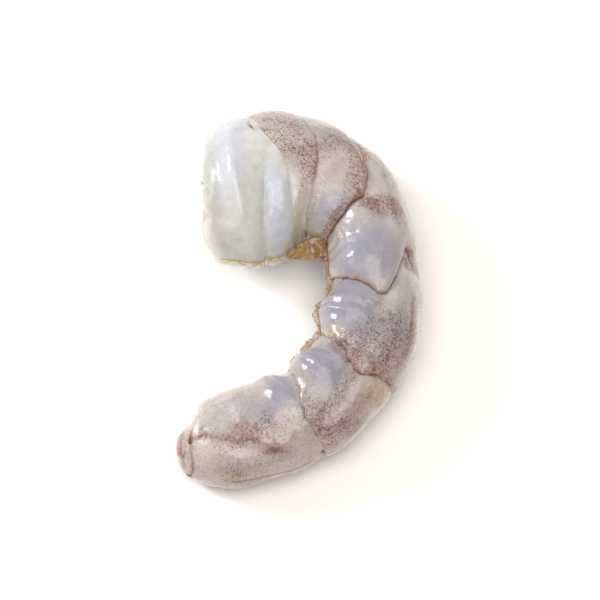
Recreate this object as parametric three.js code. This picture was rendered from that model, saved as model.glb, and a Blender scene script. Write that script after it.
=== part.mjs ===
// A raw whiteleg shrimp, peeled, with head and tail fan off, lying curled on its right side.
// Millimetres, +Z up, longest way along Y. The origin is under the middle of its box, where it rests.
//
// Two numbers place any spot on the body: how far along the midline it is, from the cut front end to the
// tail stub, and which way it faces: 0 degrees is the back, 90 the flank that looks up, 180 the belly, and
// the same angles below zero are the flank it lies on.

import * as THREE from 'three';
import { mergeVertices } from 'three/addons/utils/BufferGeometryUtils.js';

// ---- Driving dimensions ------------------------------------------------------------------------------

// How the body bends and swells. `heading` is the midline's direction in degrees, counted from +X;
// `back`, `belly` and `side` are the section's reach from the midline towards its back, belly and flanks;
// `height` is the midline's height over the ground; `roll` turns the belly up, in degrees.
const STATIONS = [
  { at: 0.0, heading: 2, back: 10.0, belly: 11.6, side: 7.4, height: 10.0, roll: 0 }, // cut front end
  { at: 6.5, heading: 5, back: 10.3, belly: 12.4, side: 8.4, height: 9.2, roll: 0 }, // bare flesh
  { at: 13.0, heading: 2, back: 10.8, belly: 11.4, side: 8.6, height: 8.4, roll: 0 }, // segment 1
  { at: 17.5, heading: -17, back: 9.6, belly: 9.4, side: 8.4, height: 7.9, roll: 3 }, // segment 2
  { at: 25.0, heading: -56, back: 7.2, belly: 7.9, side: 7.7, height: 7.2, roll: 9 }, // segment 3
  { at: 32.5, heading: -83, back: 5.7, belly: 7.4, side: 7.2, height: 6.7, roll: 12 }, // its middle
  { at: 40.0, heading: -95, back: 6.5, belly: 7.5, side: 7.0, height: 6.5, roll: 12 }, // segment 4
  { at: 46.0, heading: -108, back: 6.3, belly: 7.6, side: 6.8, height: 6.3, roll: 12 }, // its middle
  { at: 52.0, heading: -126, back: 6.0, belly: 7.8, side: 6.5, height: 6.0, roll: 11 }, // segment 5
  { at: 61.0, heading: -152, back: 6.1, belly: 7.7, side: 5.8, height: 5.4, roll: 8 }, // segment 6
  { at: 68.0, heading: -165, back: 6.2, belly: 7.9, side: 5.2, height: 4.8, roll: 6 }, // its middle
  { at: 73.0, heading: -172, back: 5.8, belly: 7.5, side: 4.5, height: 4.2, roll: 6 }, // its shoulder
  { at: 75.6, heading: -173, back: 5.0, belly: 6.3, side: 4.0, height: 3.9, roll: 6 }, // its rear corner
  { at: 77.0, heading: -174, back: 4.2, belly: 3.8, side: 3.4, height: 3.6, roll: 6 }, // tail stub
  { at: 79.5, heading: -175, back: 4.1, belly: 3.7, side: 2.8, height: 3.6, roll: 6 }, // its end
];
const FRONT_CAP = 3.2; // length over which the front end rounds off on the belly side
const FRONT_SLANT = 4.3; // how much longer that rounding is on the back
const SLANT_ANGLES = [20, 130]; // the extra length goes between these angles
const FRONT_POWER = 2.6; // 2 is a round end, more is blunter
const REAR_CAP = 2.6; // length over which the tail stub rounds off
const REAR_POWER = 1.9;

// Seams between the segments: how far along each one lies, at these angles from the back to the belly.
const SEAM_ANGLES = [0, 40, 62, 92, 120, 150, 180];
const SEAMS = [
  [7.2, 8.0, 9.8, 12.8, 13.5, 14.9, 17.0], // bare flesh | segment 1
  [13.0, 14.6, 15.8, 17.4, 17.9, 18.7, 20.8], // 1 | 2
  [18.2, 19.4, 21.8, 25.1, 26.1, 27.3, 28.9], // 2 | 3
  [36.0, 35.4, 33.6, 40.2, 38.6, 37.3, 35.8], // 3 | 4
  [50.9, 50.6, 51.0, 52.2, 50.2, 48.8, 46.6], // 4 | 5
  [60.8, 60.8, 61.1, 61.2, 59.8, 59.1, 58.8], // 5 | 6
];
const SEGMENT_SWELL = [0.3, 0.45, 0.6, 0.9, 0.8, 0.7, 0.6]; // of the bare flesh, then segments 1 to 6
const SWELL_RISE = 2.4; // behind a seam the next segment comes up over this length
const SWELL_FALL = 0.5; // at its rear edge it drops over this length
const SWELL_MEAN = 0.6; // share of the swell that the stations already hold
const BACK_SWELL = 0.5; // share of the swell on the back; the rest comes in between these angles
const BACK_ANGLES = [20, 75];

// Rounded muscles on the flanks: place along and around, half length, half angle and height.
const MUSCLES = [
  { name: 'front crest', at: 6.6, around: 108, long: 3.0, wide: 54, rise: 0.8 },
  { name: 'front belly lobe', at: 5.8, around: 160, long: 4.6, wide: 24, rise: 0.45 },
  { name: 'front rear lobe', at: 11.3, around: 128, long: 1.9, wide: 40, rise: 0.6 },
  { name: 'segment 1 flank', at: 15.6, around: 140, long: 2.0, wide: 30, rise: 0.5 },
  { name: 'segment 2 flank', at: 22.6, around: 122, long: 3.0, wide: 36, rise: 0.6 },
  { name: 'segment 3 flank', at: 33.0, around: 112, long: 5.6, wide: 38, rise: 0.9 },
  { name: 'segment 4 bead', at: 42.8, around: 146, long: 4.0, wide: 32, rise: 1.2 },
  { name: 'segment 4 back', at: 45.0, around: 66, long: 4.6, wide: 30, rise: 0.2 },
  { name: 'segment 5 bead', at: 55.6, around: 132, long: 3.6, wide: 28, rise: 1.0 },
  { name: 'segment 5 back', at: 56.6, around: 44, long: 4.0, wide: 30, rise: 0.3 },
  { name: 'segment 6 bead', at: 63.4, around: 140, long: 2.8, wide: 26, rise: 0.8 },
  { name: 'segment 6 flank', at: 69.0, around: 112, long: 5.6, wide: 32, rise: 0.35 },
];
const MUSCLE_EDGE = 3.0; // 2 is a soft bump, more has a steeper edge
const UNDERSIDE_MUSCLES = 0.5; // share of their height left on the flank it lies on

// Furrows that run along the body: angles at places along, depth, and half width in degrees.
const FURROWS = [
  { name: 'belly line', along: [12, 40, 70], around: [180, 180, 180], deep: 0.7, wide: 9 },
  { name: 'segment 4 flank', along: [40, 46, 51], around: [92, 100, 113], deep: 0.25, wide: 11 },
  { name: 'segment 5 flank', along: [51, 56, 60.5], around: [113, 86, 62], deep: 0.3, wide: 12 },
  { name: 'segment 6 flank', along: [64.5, 69.5, 76.5], around: [46, 68, 97], deep: 0.2, wide: 8 },
];
const FURROW_FADE = 1.6; // length over which a furrow comes in and dies out

// Creases across the bare flesh at the front: place along, start angle, depth and half width.
const CREASES = [
  { name: 'outer lobe', at: 2.4, from: 60, deep: 0.25, wide: 0.8 },
  { name: 'rear lobe', at: 9.2, from: 92, deep: 0.4, wide: 0.6 },
];
const CREASE_FADE = 25; // angle over which a crease comes in
const CREASE_WAVER = 0.6; // how far it wanders along the body
const CREASE_WAVES = 3.1; // how often it wanders, in half turns round the body

// Slow waves over the whole body: radians for each millimetre along it, waves round it, and height.
const WAVES = [
  { along: 0.55, around: 3, high: 0.12 },
  { along: 0.9, around: -2, high: 0.12 },
];
const TIGHT_BEND = [0.1, 0.6]; // where the inside of a bend keeps less than this room, its relief goes

const FLESH = { colour: 0xd9d3d1, roughness: 0.28, metalness: 0.0 };

// Mesh fineness: rings in each segment, closer together towards its seams, and points in a ring.
const SEGMENT_RINGS = [18, 9, 11, 15, 15, 13, 19];
const RING_CLOSING = 0.8;
const RING_POINTS = 44;
const MIDLINE_STEP = 0.1;
const MERGE_DISTANCE = 1e-5;

// ---- Smooth tables -----------------------------------------------------------------------------------

const { clamp, degToRad, lerp, smoothstep } = THREE.MathUtils;
const gauss = (x) => Math.exp(-x * x);

/** A smooth curve through a table: a cubic between each two knots, with averaged slopes at them. */
function curveThrough(knots, values) {
  const last = knots.length - 1;
  const rate = (i) => (values[i + 1] - values[i]) / (knots[i + 1] - knots[i]);
  const slopes = knots.map((knot, i) => {
    if (i === 0) return rate(0);
    if (i === last) return rate(last - 1);
    const before = knot - knots[i - 1];
    const after = knots[i + 1] - knot;
    return (before * rate(i) + after * rate(i - 1)) / (before + after);
  });
  return (x) => {
    let i = 0;
    while (i < last - 1 && x >= knots[i + 1]) i += 1;
    const span = knots[i + 1] - knots[i];
    const s = clamp((x - knots[i]) / span, 0, 1);
    const start = values[i] * (1 + 2 * s) + slopes[i] * span * s;
    const end = values[i + 1] * (3 - 2 * s) - slopes[i + 1] * span * (1 - s);
    return start * (1 - s) ** 2 + end * s ** 2;
  };
}

const stationPlaces = STATIONS.map((station) => station.at);
const along = (field) => curveThrough(stationPlaces, STATIONS.map((station) => station[field]));
const body = {
  length: stationPlaces.at(-1),
  heading: along('heading'),
  back: along('back'),
  belly: along('belly'),
  side: along('side'),
  height: along('height'),
  roll: along('roll'),
};
const seamCurves = SEAMS.map((places) => curveThrough(SEAM_ANGLES, places));
const furrowCurves = FURROWS.map((furrow) => curveThrough(furrow.along, furrow.around));

// ---- Midline -----------------------------------------------------------------------------------------

/** Walks the heading from the front end to the tail and keeps the points passed on the way. */
function walkMidline() {
  const points = [new THREE.Vector2()];
  const steps = Math.round(body.length / MIDLINE_STEP);
  for (let i = 0; i < steps; i += 1) {
    const heading = degToRad(body.heading((i + 0.5) * MIDLINE_STEP));
    const step = new THREE.Vector2(Math.cos(heading), Math.sin(heading)).multiplyScalar(MIDLINE_STEP);
    points.push(points[i].clone().add(step));
  }
  return points;
}

const midline = walkMidline();

/** The midline's point at a place along it. */
function midlineAt(place) {
  const i = clamp(Math.floor(place / MIDLINE_STEP), 0, midline.length - 2);
  return midline[i].clone().lerp(midline[i + 1], place / MIDLINE_STEP - i);
}

/** How fast the heading turns at a place, in radians for each millimetre; the body bends to its belly. */
function bendAt(place) {
  const before = body.heading(place - MIDLINE_STEP / 2);
  const after = body.heading(place + MIDLINE_STEP / 2);
  return degToRad(before - after) / MIDLINE_STEP;
}

// ---- Rings that follow the seams ---------------------------------------------------------------------

/** Every ring from the front end to the tail: its segment and its share of the way through it. */
function ringList() {
  const rings = SEGMENT_RINGS.flatMap((count, segment) =>
    Array.from({ length: count }, (_, i) => {
      const turn = (2 * Math.PI * i) / count;
      return { segment, share: (turn - RING_CLOSING * Math.sin(turn)) / (2 * Math.PI) };
    }),
  );
  rings.push({ segment: SEGMENT_RINGS.length - 1, share: 1 });
  return rings;
}

const rings = ringList();

/** A spot on a ring: where it is along the body, and how far it is from its segment's two seams. */
function spotOn(ring, angle) {
  const around = Math.abs(angle);
  const bounds = [0, ...seamCurves.map((seam) => seam(around)), body.length];
  const front = bounds[ring.segment];
  const rear = bounds[ring.segment + 1];
  const place = lerp(front, rear, ring.share);
  return {
    segment: ring.segment,
    place,
    angle,
    around,
    sinceFront: ring.segment === 0 ? Infinity : place - front,
    toRear: ring.segment === SEGMENT_SWELL.length - 1 ? Infinity : rear - place,
  };
}

// ---- Relief ------------------------------------------------------------------------------------------

/** Each segment swells behind its front seam and ends in a low step over the next one. */
function swell({ segment, around, sinceFront, toRear }) {
  const rise = 1 - Math.exp(-sinceFront / SWELL_RISE);
  const fall = 1 - Math.exp(-toRear / SWELL_FALL);
  const share = lerp(BACK_SWELL, 1, smoothstep(around, ...BACK_ANGLES));
  return SEGMENT_SWELL[segment] * share * (rise * fall - SWELL_MEAN);
}

/** Rounded muscles under the surface. */
function muscles({ place, angle, around }) {
  let sum = 0;
  for (const muscle of MUSCLES) {
    const off = Math.hypot((place - muscle.at) / muscle.long, (around - muscle.around) / muscle.wide);
    sum += muscle.rise * Math.exp(-(off ** MUSCLE_EDGE));
  }
  return angle < 0 ? UNDERSIDE_MUSCLES * sum : sum;
}

/** Furrows along the body, fading in and out at their ends. */
function furrows({ place, around }) {
  let sum = 0;
  FURROWS.forEach((furrow, i) => {
    const inside = Math.min(place - furrow.along[0], furrow.along.at(-1) - place);
    const strength = smoothstep(inside, -FURROW_FADE, FURROW_FADE);
    sum -= furrow.deep * strength * gauss((around - furrowCurves[i](place)) / furrow.wide);
  });
  return sum;
}

/** Wavering creases across the bare flesh at the front. */
function creases({ place, around }) {
  let sum = 0;
  for (const crease of CREASES) {
    const centre = crease.at + CREASE_WAVER * Math.sin(degToRad(around * CREASE_WAVES) + crease.at);
    const strength = smoothstep(around, crease.from, crease.from + CREASE_FADE);
    sum -= crease.deep * strength * gauss((place - centre) / crease.wide);
  }
  return sum;
}

/** Slow waves that leave no stretch quite even. */
function waves({ place, angle }) {
  let sum = 0;
  for (const wave of WAVES) {
    sum += wave.high * Math.sin(place * wave.along + degToRad(angle * wave.around));
  }
  return sum;
}

/** How far the surface stands off its plain section. */
function relief(spot) {
  return swell(spot) + muscles(spot) + furrows(spot) + creases(spot) + waves(spot);
}

// ---- Surface -----------------------------------------------------------------------------------------

/** A rounded end's size, from 0 at its tip to 1 where the full section begins. */
function roundEnd(fromTip, cap, power) {
  const toTip = 1 - clamp(fromTip / cap, 0, 1);
  return (1 - toTip ** power) ** (1 / power);
}

/** The part of a full section that is left at a spot, as the two ends round off. */
function taper({ place, around }) {
  const frontCap = FRONT_CAP + FRONT_SLANT * (1 - smoothstep(around, ...SLANT_ANGLES));
  const front = roundEnd(place, frontCap, FRONT_POWER);
  return front * roundEnd(body.length - place, REAR_CAP, REAR_POWER);
}

/** The point of the surface at a spot. */
function surfacePoint(spot) {
  const { place, angle } = spot;
  const toBack = Math.cos(degToRad(angle));
  const toFlank = Math.sin(degToRad(angle));
  const size = taper(spot);
  const depth = lerp(body.belly(place), body.back(place), 0.5 + 0.5 * toBack);
  const room = 1 - bendAt(place) * depth * Math.max(-toBack, 0);
  const lift = relief(spot) * size * smoothstep(room, ...TIGHT_BEND);
  const section = new THREE.Vector2(
    (depth * size + lift) * toBack,
    (body.side(place) * size + lift) * toFlank,
  ).rotateAround(new THREE.Vector2(), -degToRad(body.roll(place)));
  const heading = degToRad(body.heading(place));
  const centre = midlineAt(place);
  return new THREE.Vector3(
    centre.x - Math.sin(heading) * section.x,
    centre.y + Math.cos(heading) * section.x,
    Math.max(body.height(place) + section.y, 0), // the underside lies flat where it rests
  );
}

/** The whole body: a ball's vertices, each moved to its own place along and round the body. */
function shrimpGeometry() {
  const lastRing = rings.length - 1;
  const geometry = new THREE.SphereGeometry(1, RING_POINTS, lastRing);
  const positions = geometry.attributes.position;
  const onBall = new THREE.Vector3();
  for (let i = 0; i < positions.count; i += 1) {
    onBall.fromBufferAttribute(positions, i);
    const ring = Math.round((Math.acos(clamp(onBall.y, -1, 1)) / Math.PI) * lastRing);
    const column = Math.round((Math.atan2(onBall.z, onBall.x) / (2 * Math.PI)) * RING_POINTS);
    const angle = ((column + RING_POINTS) % RING_POINTS) * (360 / RING_POINTS);
    const point = surfacePoint(spotOn(rings[ring], angle > 180 ? angle - 360 : angle));
    positions.setXYZ(i, point.x, point.y, point.z);
  }
  geometry.deleteAttribute('normal');
  geometry.deleteAttribute('uv');
  const closed = mergeVertices(geometry, MERGE_DISTANCE);
  closed.computeBoundingBox();
  const middle = closed.boundingBox.getCenter(new THREE.Vector3());
  closed.translate(-middle.x, -middle.y, 0);
  closed.computeVertexNormals();
  return closed;
}

// ---- Object ------------------------------------------------------------------------------------------

const flesh = new THREE.MeshStandardMaterial({
  color: FLESH.colour,
  roughness: FLESH.roughness,
  metalness: FLESH.metalness,
});

const shrimp = new THREE.Mesh(shrimpGeometry(), flesh);
shrimp.name = 'shrimp';

const part = new THREE.Group();
part.add(shrimp);

export default part;
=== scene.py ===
"""A raw, peeled whiteleg shrimp that lies curled on its right side, on a plain pale floor.

The body is one skin, worked out ring by ring along its midline: the same stations, seams, muscles and
furrows as the solid it stands for, with finer relief over them. Where the skin is specked, tinted or clear,
and where a highlight is painted on, is worked out with it, as marks kept on its vertices, and the finishes
mix their colours by those marks.
All sizes here are in millimetres, until a mesh is made.
"""

from __future__ import annotations

import logging
import math
from dataclasses import dataclass, field
from enum import Enum

import bpy
import numpy as np
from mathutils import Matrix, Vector

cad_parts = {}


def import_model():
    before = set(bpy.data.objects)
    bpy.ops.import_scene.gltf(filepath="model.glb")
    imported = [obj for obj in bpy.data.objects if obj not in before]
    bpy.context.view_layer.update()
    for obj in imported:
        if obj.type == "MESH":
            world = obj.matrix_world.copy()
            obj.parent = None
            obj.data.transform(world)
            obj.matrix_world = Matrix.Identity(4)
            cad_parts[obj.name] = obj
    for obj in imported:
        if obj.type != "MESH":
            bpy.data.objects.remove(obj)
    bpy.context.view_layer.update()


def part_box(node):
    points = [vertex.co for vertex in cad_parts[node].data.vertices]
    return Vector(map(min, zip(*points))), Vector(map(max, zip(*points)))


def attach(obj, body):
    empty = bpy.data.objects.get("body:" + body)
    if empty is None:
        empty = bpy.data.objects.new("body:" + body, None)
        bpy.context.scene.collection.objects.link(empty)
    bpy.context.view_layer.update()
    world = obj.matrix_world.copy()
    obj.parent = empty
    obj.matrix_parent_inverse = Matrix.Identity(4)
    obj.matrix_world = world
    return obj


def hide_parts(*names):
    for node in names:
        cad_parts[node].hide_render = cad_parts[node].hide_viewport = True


log = logging.getLogger("shrimp")

MM = 0.001
BODY = "root"
NODE = "shrimp"

Numbers = np.ndarray
Colour = tuple[float, float, float]
Socket = bpy.types.NodeSocket
Inputs = dict[int | str, object]


# ---- Smooth tables and noise ---------------------------------------------------------------------------


def smooth_step(x: Numbers, start: Numbers | float, end: Numbers | float) -> Numbers:
    """Goes smoothly from 0 at `start` to 1 at `end`, whichever of the two is the larger."""
    share = np.clip((x - start) / (end - start), 0.0, 1.0)
    return share * share * (3.0 - 2.0 * share)


def bell(x: Numbers) -> Numbers:
    """A soft bump of height 1 at 0."""
    return np.exp(-x * x)


def cos_sin(degrees: Numbers) -> tuple[Numbers, Numbers]:
    """The cosine and the sine of angles in degrees."""
    return np.cos(np.radians(degrees)), np.sin(np.radians(degrees))


def vectors(x: Numbers, y: Numbers, z: Numbers | float = 0.0) -> Numbers:
    """Joins three coordinates into vectors, along a new last axis."""
    return np.stack(np.broadcast_arrays(x, y, z), -1)


@dataclass(frozen=True)
class SmoothTable:
    """A smooth curve through a short table: a cubic between each two knots."""

    knots: tuple[float, ...]
    values: tuple[float, ...]

    def __call__(self, x: Numbers) -> Numbers:
        """The curve's value at each x.

        Args:
            x: Where to read the curve.

        Returns:
            An array of the same shape.
        """
        knots = np.asarray(self.knots, dtype=float)
        values = np.asarray(self.values, dtype=float)
        slopes = np.gradient(values, knots)
        i = np.clip(np.searchsorted(knots, x, side="right") - 1, 0, len(knots) - 2)
        span = knots[i + 1] - knots[i]
        s = np.clip((x - knots[i]) / span, 0.0, 1.0)
        start = values[i] * (1 + 2 * s) + slopes[i] * span * s
        end = values[i + 1] * (3 - 2 * s) - slopes[i + 1] * span * (1 - s)
        return start * (1 - s) ** 2 + end * s**2


@dataclass(frozen=True)
class LatticeNoise:
    """Smooth seeded noise from -1 to 1: random values on a lattice, blended between its points."""

    seed: int
    grain: float
    lattice: int = 48

    def __call__(self, points: Numbers) -> Numbers:
        """The noise at each point.

        Args:
            points: An array whose last axis is x, y, z in millimetres.

        Returns:
            An array without that last axis.
        """
        table = np.random.default_rng(self.seed).uniform(-1.0, 1.0, (self.lattice,) * 3)
        cells = points / self.grain
        low = np.floor(cells).astype(int)
        share = cells - low
        share = share * share * (3.0 - 2.0 * share)
        total = np.zeros(points.shape[:-1])
        for corner in np.ndindex(2, 2, 2):
            weight = np.ones_like(total)
            for axis, side in enumerate(corner):
                weight *= share[..., axis] if side else 1.0 - share[..., axis]
            at = (low + corner) % self.lattice
            total += weight * table[at[..., 0], at[..., 1], at[..., 2]]
        return total


@dataclass(frozen=True)
class TwoGrains:
    """Coarse noise with a share of finer noise over it."""

    seed: int
    coarse: float
    fine: float
    share: float = 0.5

    def __call__(self, points: Numbers) -> Numbers:
        """The noise at each point, as in LatticeNoise."""
        fine = LatticeNoise(self.seed + 1, self.fine)(points)
        return LatticeNoise(self.seed, self.coarse)(points) + self.share * fine


# ---- Places on the skin --------------------------------------------------------------------------------


@dataclass
class Spots:
    """Many spots on the skin, as arrays of one shape."""

    place: Numbers
    angle: Numbers
    segment: Numbers
    since_front: Numbers
    to_rear: Numbers
    share: Numbers

    @property
    def ring(self) -> Numbers:
        """The ring coordinate: the segment's number plus the share of the way through it."""
        return self.segment + self.share

    @property
    def around(self) -> Numbers:
        """The angle from the back, the same on both flanks."""
        return np.abs(self.angle)


@dataclass(frozen=True)
class Patch:
    """A soft-edged patch of skin: place, angle, half length, half angle and amount."""

    at: float
    around: float
    long: float
    wide: float
    amount: float
    power: float = 4.0

    def over(self, spots: Spots) -> Numbers:
        """The patch's share at each spot."""
        off = np.hypot((spots.place - self.at) / self.long, (spots.around - self.around) / self.wide)
        return self.amount * np.exp(-(off**self.power))


@dataclass(frozen=True)
class Muscle(Patch):
    """A rounded muscle under the skin, with a softer edge than a patch has."""

    power: float = 3.0


@dataclass(frozen=True)
class Stripe:
    """A soft stripe along the body: angles at places along it, half angle and amount."""

    along: tuple[float, ...]
    around: tuple[float, ...]
    wide: float
    amount: float
    fade: float = 0.8

    def over(self, spots: Spots) -> Numbers:
        """The stripe's share at each spot, less and less towards its ends.

        Args:
            spots: Where on the skin.

        Returns:
            The shares.
        """
        inside = np.minimum(spots.place - self.along[0], self.along[-1] - spots.place)
        off = spots.around - SmoothTable(self.along, self.around)(spots.place)
        return self.amount * smooth_step(inside, -self.fade, self.fade) * bell(off / self.wide)


@dataclass(frozen=True)
class Furrow(Stripe):
    """A furrow along the body, with longer ends than a stripe has."""

    fade: float = 1.6


@dataclass(frozen=True)
class Band:
    """A soft line across the body: places at angles around it, half width and amount."""

    around: tuple[float, ...]
    along: tuple[float, ...]
    long: float
    amount: float
    fade: float = 5.0

    def over(self, spots: Spots) -> Numbers:
        """The band's share at each spot, less and less towards its ends.

        Args:
            spots: Where on the skin.

        Returns:
            The shares.
        """
        inside = np.minimum(spots.around - self.around[0], self.around[-1] - spots.around)
        off = spots.place - SmoothTable(self.around, self.along)(spots.around)
        return self.amount * smooth_step(inside, -self.fade, self.fade) * bell(off / self.long)


Area = Patch | Stripe | Band


def gather(areas: tuple[Area, ...], spots: Spots) -> Numbers:
    """The areas' sum at each spot."""
    return sum((area.over(spots) for area in areas), np.zeros_like(spots.place))


# ---- The body's form -----------------------------------------------------------------------------------


@dataclass(frozen=True)
class Station:
    """The body's section at one place along the midline, in millimetres and degrees."""

    at: float
    heading: float
    back: float
    belly: float
    side: float
    height: float
    roll: float


@dataclass(frozen=True)
class Crease:
    """A crease across the bare flesh: its place, the angle it starts at, its depth and half width."""

    at: float
    start: float
    deep: float
    wide: float


@dataclass(frozen=True)
class BodyForm:
    """The body's shape: a midline, the sections on it and the relief over them."""

    stations: tuple[Station, ...] = (
        Station(0.0, 2, 10.0, 11.6, 7.4, 10.0, 0),
        Station(6.5, 5, 10.3, 12.4, 8.4, 9.2, 0),
        Station(13.0, 2, 10.8, 11.4, 8.6, 8.4, 0),
        Station(17.5, -17, 9.6, 9.4, 8.4, 7.9, 3),
        Station(25.0, -56, 7.2, 7.9, 7.7, 7.2, 9),
        Station(32.5, -83, 5.7, 7.4, 7.2, 6.7, 12),
        Station(40.0, -95, 6.5, 7.5, 7.0, 6.5, 12),
        Station(46.0, -108, 6.3, 7.6, 6.8, 6.3, 12),
        Station(52.0, -126, 6.0, 7.8, 6.5, 6.0, 11),
        Station(61.0, -152, 6.1, 7.7, 5.8, 5.4, 8),
        Station(68.0, -165, 6.2, 7.9, 5.2, 4.8, 6),
        Station(73.0, -172, 5.8, 7.5, 4.5, 4.2, 6),
        Station(75.6, -173, 5.0, 6.3, 4.0, 3.9, 6),
        Station(77.0, -174, 4.2, 3.8, 3.4, 3.6, 6),
        Station(79.5, -175, 4.1, 3.7, 2.8, 3.6, 6),
    )
    front_cap: float = 3.2
    front_slant: float = 4.3
    slant_angles: tuple[float, float] = (20, 130)
    rear_cap: float = 2.6
    cap_power: float = 2.6
    rear_power: float = 1.9
    seam_angles: tuple[float, ...] = (0, 40, 62, 92, 120, 150, 180)
    seams: tuple[tuple[float, ...], ...] = (
        (7.2, 8.0, 9.8, 12.8, 13.5, 14.9, 17.0),
        (13.0, 14.6, 15.8, 17.4, 17.9, 18.7, 20.8),
        (18.2, 19.4, 21.8, 25.1, 26.1, 27.3, 28.9),
        (36.0, 35.4, 33.6, 40.2, 38.6, 37.3, 35.8),
        (50.9, 50.6, 51.0, 52.2, 50.2, 48.8, 46.6),
        (60.8, 60.8, 61.1, 61.2, 59.8, 59.1, 58.8),
    )
    swells: tuple[float, ...] = (0.3, 0.45, 0.6, 0.9, 0.8, 0.7, 0.6)
    swell_rise: float = 2.4
    swell_fall: float = 0.5
    swell_mean: float = 0.6
    back_swell: float = 0.5
    flank_angles: tuple[float, float] = (20, 75)
    muscles: tuple[Muscle, ...] = (
        Muscle(6.6, 108, 3.0, 54, 0.8),
        Muscle(5.8, 160, 4.6, 24, 0.45),
        Muscle(11.3, 128, 1.9, 40, 0.6),
        Muscle(15.6, 140, 2.0, 30, 0.5),
        Muscle(22.6, 122, 3.0, 36, 0.6),
        Muscle(33.0, 112, 5.6, 38, 0.9),
        Muscle(42.8, 146, 4.0, 32, 1.2),
        Muscle(45.0, 66, 4.6, 30, 0.2),
        Muscle(55.6, 132, 3.6, 28, 1.0),
        Muscle(56.6, 44, 4.0, 30, 0.3),
        Muscle(63.4, 140, 2.8, 26, 0.8),
        Muscle(69.0, 112, 5.6, 32, 0.35),
    )
    underside_muscles: float = 0.5
    furrows: tuple[Furrow, ...] = (
        Furrow((12, 40, 70), (180, 180, 180), 9, -0.7),
        Furrow((40, 46, 51), (92, 100, 113), 11, -0.25),
        Furrow((51, 56, 60.5), (113, 86, 62), 12, -0.3),
        Furrow((64.5, 69.5, 76.5), (46, 68, 97), 8, -0.2),
    )
    creases: tuple[Crease, ...] = (Crease(2.4, 60, 0.25, 0.8), Crease(9.2, 92, 0.4, 0.6))
    crease_fade: float = 25.0
    crease_waver: float = 0.6
    crease_waves: float = 3.1
    unevenness: float = 0.12
    wave_turns: tuple[tuple[float, float], ...] = ((0.55, 3), (0.9, -2))
    tight_bend: tuple[float, float] = (0.1, 0.6)
    midline_step: float = 0.05

    @property
    def length(self) -> float:
        """The midline's length."""
        return self.stations[-1].at

    def along(self, name: str, place: Numbers) -> Numbers:
        """The stations' value of that name, read smoothly at each place."""
        knots = tuple(station.at for station in self.stations)
        return SmoothTable(knots, tuple(getattr(station, name) for station in self.stations))(place)

    def seam_places(self, around: Numbers) -> Numbers:
        """Where the seven segments' eight bounds lie at each angle from the back, on a new first axis."""
        seams = [SmoothTable(self.seam_angles, seam)(around) for seam in self.seams]
        return np.stack([np.zeros_like(around), *seams, np.full_like(around, self.length)])

    def spots(self, ring: Numbers, angle: Numbers) -> Spots:
        """Places spots by ring coordinate, so that the rings follow the seams.

        Args:
            ring: The segment's number plus the share of the way through it, from 0 to 7.
            angle: Degrees from the back, below zero on the underside.

        Returns:
            The spots.
        """
        bounds = self.seam_places(np.abs(angle))
        segment = np.clip(np.floor(ring).astype(int), 0, len(self.swells) - 1)
        front, rear = self.segment_ends(bounds, segment)
        share = ring - segment
        place = front + share * (rear - front)
        return Spots(place, angle, segment, place - front, rear - place, share)

    def spots_at(self, place: Numbers, angle: Numbers) -> Spots:
        """Places spots by their place along the midline.

        Args:
            place: Millimetres along the midline.
            angle: Degrees from the back, below zero on the underside.

        Returns:
            The spots.
        """
        bounds = self.seam_places(np.abs(angle))
        segment = (place >= bounds[1:-1]).sum(0)
        front, rear = self.segment_ends(bounds, segment)
        share = (place - front) / (rear - front)
        return Spots(place, angle, segment, place - front, rear - place, share)

    @staticmethod
    def segment_ends(bounds: Numbers, segment: Numbers) -> tuple[Numbers, Numbers]:
        """Where each spot's segment starts and ends."""
        front = np.take_along_axis(bounds, segment[None], 0)[0]
        return front, np.take_along_axis(bounds, segment[None] + 1, 0)[0]

    def swell(self, spots: Spots) -> Numbers:
        """Each segment swells behind its front seam and ends in a low step over the next one.

        Args:
            spots: Where on the skin.

        Returns:
            The height that the swelling adds.
        """
        last = len(self.swells) - 1
        since_front = np.where(spots.segment == 0, np.inf, spots.since_front)
        to_rear = np.where(spots.segment == last, np.inf, spots.to_rear)
        rise = 1 - np.exp(-since_front / self.swell_rise)
        fall = 1 - np.exp(-to_rear / self.swell_fall)
        flank = self.back_swell + (1 - self.back_swell) * smooth_step(spots.around, *self.flank_angles)
        return np.asarray(self.swells)[spots.segment] * flank * (rise * fall - self.swell_mean)

    def muscle_relief(self, spots: Spots) -> Numbers:
        """The rounded muscles under the skin, lower on the underside."""
        return gather(self.muscles, spots) * np.where(spots.angle < 0, self.underside_muscles, 1.0)

    def crease_relief(self, spots: Spots) -> Numbers:
        """The wavering creases across the bare flesh at the front.

        Args:
            spots: Where on the skin.

        Returns:
            The height, below zero in a crease.
        """
        total = np.zeros_like(spots.place)
        for crease in self.creases:
            wave = np.sin(np.radians(spots.around * self.crease_waves) + crease.at)
            centre = crease.at + self.crease_waver * wave
            strength = smooth_step(spots.around, crease.start, crease.start + self.crease_fade)
            total -= crease.deep * strength * bell((spots.place - centre) / crease.wide)
        return total

    def waves(self, spots: Spots) -> Numbers:
        """Slow waves that leave no stretch quite even."""
        turns = (spots.place * along + np.radians(spots.angle * around) for along, around in self.wave_turns)
        return self.unevenness * sum(np.sin(turn) for turn in turns)

    def relief(self, spots: Spots) -> Numbers:
        """How far the solid's surface stands off its plain section."""
        parts = (self.swell, self.muscle_relief, self.crease_relief, self.waves)
        return sum(part(spots) for part in parts) + gather(self.furrows, spots)

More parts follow.
